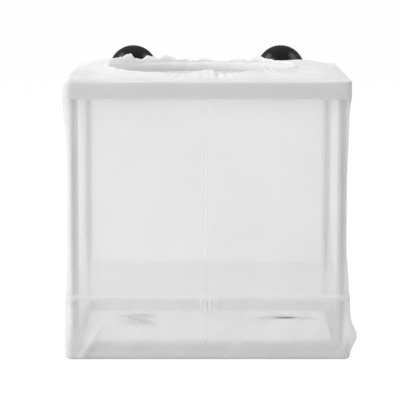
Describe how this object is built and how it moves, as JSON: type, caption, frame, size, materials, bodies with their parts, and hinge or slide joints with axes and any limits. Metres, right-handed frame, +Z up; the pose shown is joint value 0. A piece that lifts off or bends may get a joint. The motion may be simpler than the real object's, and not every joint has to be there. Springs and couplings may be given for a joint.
{
  "type": "fish breeding box",
  "caption": "Net breeding box for an aquarium: fine net bag with a gathered mouth on a plug-together frame, a second net floor, and suction cups that hold it to the glass.",
  "frame": {"origin": "middle of the base of the net bag, on the ground", "axes": "+X to the right seen from the front, +Y to the back, where the suction cups are, +Z up"},
  "size_m": [0.1632, 0.1667, 0.167],
  "materials": {
    "frame_plastic": "moulded white plastic with a soft shine",
    "net": "fine white nylon net, translucent",
    "seam": "folded and stitched white net",
    "elastic": "white elastic cord",
    "cup_rubber": "black soft rubber with a dull shine"
  },
  "bodies": {
    "box": {"top_corner_front_left": "frame_plastic", "top_corner_front_right": "frame_plastic", "top_corner_rear_left": "frame_plastic", "top_corner_rear_right": "frame_plastic", "base_corner_front_left": "frame_plastic", "base_corner_front_right": "frame_plastic", "base_corner_rear_left": "frame_plastic", "base_corner_rear_right": "frame_plastic", "top_bar_front": "frame_plastic", "top_bar_rear": "frame_plastic", "top_bar_left": "frame_plastic", "top_bar_right": "frame_plastic", "base_bar_front": "frame_plastic", "base_bar_rear": "frame_plastic", "base_bar_left": "frame_plastic", "base_bar_right": "frame_plastic", "post_front_left": "frame_plastic", "post_front_right": "frame_plastic", "post_rear_left": "frame_plastic", "post_rear_right": "frame_plastic", "top_net": "net", "wall_net": "net", "bottom_net": "net", "divider_net": "net", "mouth_elastic": "elastic", "front_seam_upper": "seam", "front_seam_lower": "seam", "divider_seam": "seam"},
    "left_cup": {"suction_cup_left": "cup_rubber"},
    "right_cup": {"suction_cup_right": "cup_rubber"}
  },
  "joints": [
    {"name": "left_cup_turn", "type": "hinge", "parent": "box", "child": "left_cup", "pos_m": [-0.0464, 0.078, 0.152], "axis": [0, 1, 0], "continuous": true},
    {"name": "right_cup_turn", "type": "hinge", "parent": "box", "child": "right_cup", "pos_m": [0.0464, 0.078, 0.152], "axis": [0, 1, 0], "continuous": true}
  ]
}
